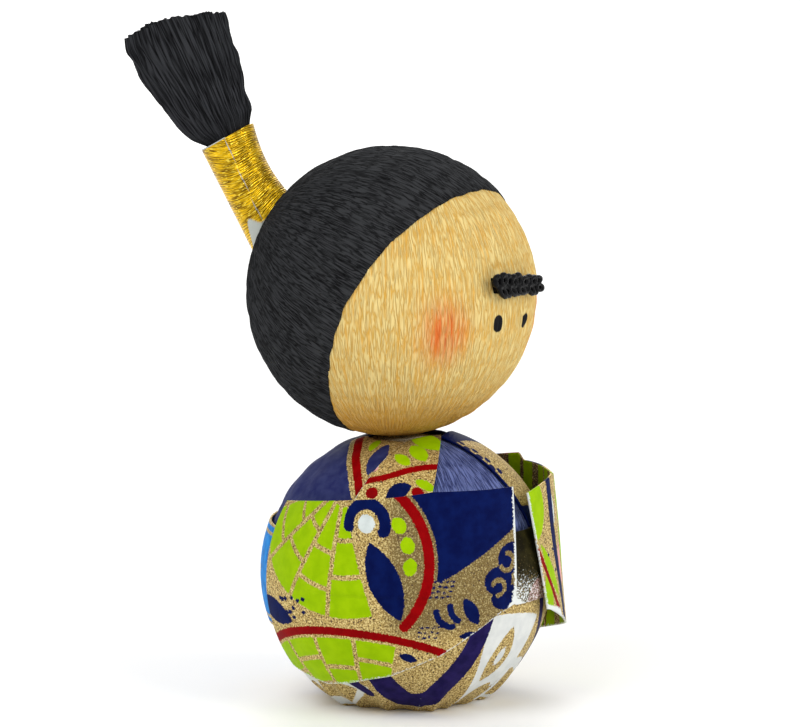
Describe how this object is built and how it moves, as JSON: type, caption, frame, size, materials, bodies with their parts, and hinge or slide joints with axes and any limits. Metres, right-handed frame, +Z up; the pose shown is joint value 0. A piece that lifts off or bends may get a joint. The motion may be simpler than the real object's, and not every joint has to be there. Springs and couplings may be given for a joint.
{
  "type": "roly-poly doll",
  "caption": "Round paper doll in a patterned robe: a ball head with a tied topknot on a ball body with standing sleeves and a small flat spot to rest on.",
  "frame": {"origin": "middle of the small flat spot under the body, on the surface that the doll stands on", "axes": "+Z up; the doll faces -Y, and its own right hand is on -X"},
  "size_m": [0.0426, 0.0637, 0.097],
  "materials": {
    "figured_paper": "silk-screened washi: lime, navy, red and white with gold lines, smooth, slightly worn at its edges",
    "wrap_paper": "plain navy washi with a soft sheen",
    "collar_paper": "the same figured washi, mostly gold, with red, navy and lime",
    "base_paper": "the same figured washi, white and gold with a navy chevron, gathered in folds underneath",
    "blue_crepe": "blue crepe paper, fine radial crinkles",
    "sash_paper": "bright blue plain paper",
    "face_crepe": "cream and ochre crepe paper, fine upright crinkles, with painted eyes and soft orange cheeks",
    "hair_crepe": "black crepe paper, fine crinkles that fan from the topknot",
    "brush_crepe": "black crepe paper, crinkles along the bundle",
    "gold_thread": "metallic gold thread wound closely side by side",
    "black_braid": "glossy black looped braid"
  },
  "bodies": {
    "root": {"body": "base_paper", "shoulder_wrap": "wrap_paper", "chest": "blue_crepe", "collar_right": "collar_paper", "lapel_left": "collar_paper", "sash": "sash_paper", "sleeve_right": "figured_paper", "sleeve_left": "figured_paper", "head": "face_crepe", "hair": "hair_crepe", "topknot_band": "gold_thread", "topknot": "brush_crepe", "eyebrow": "black_braid"}
  },
  "joints": []
}
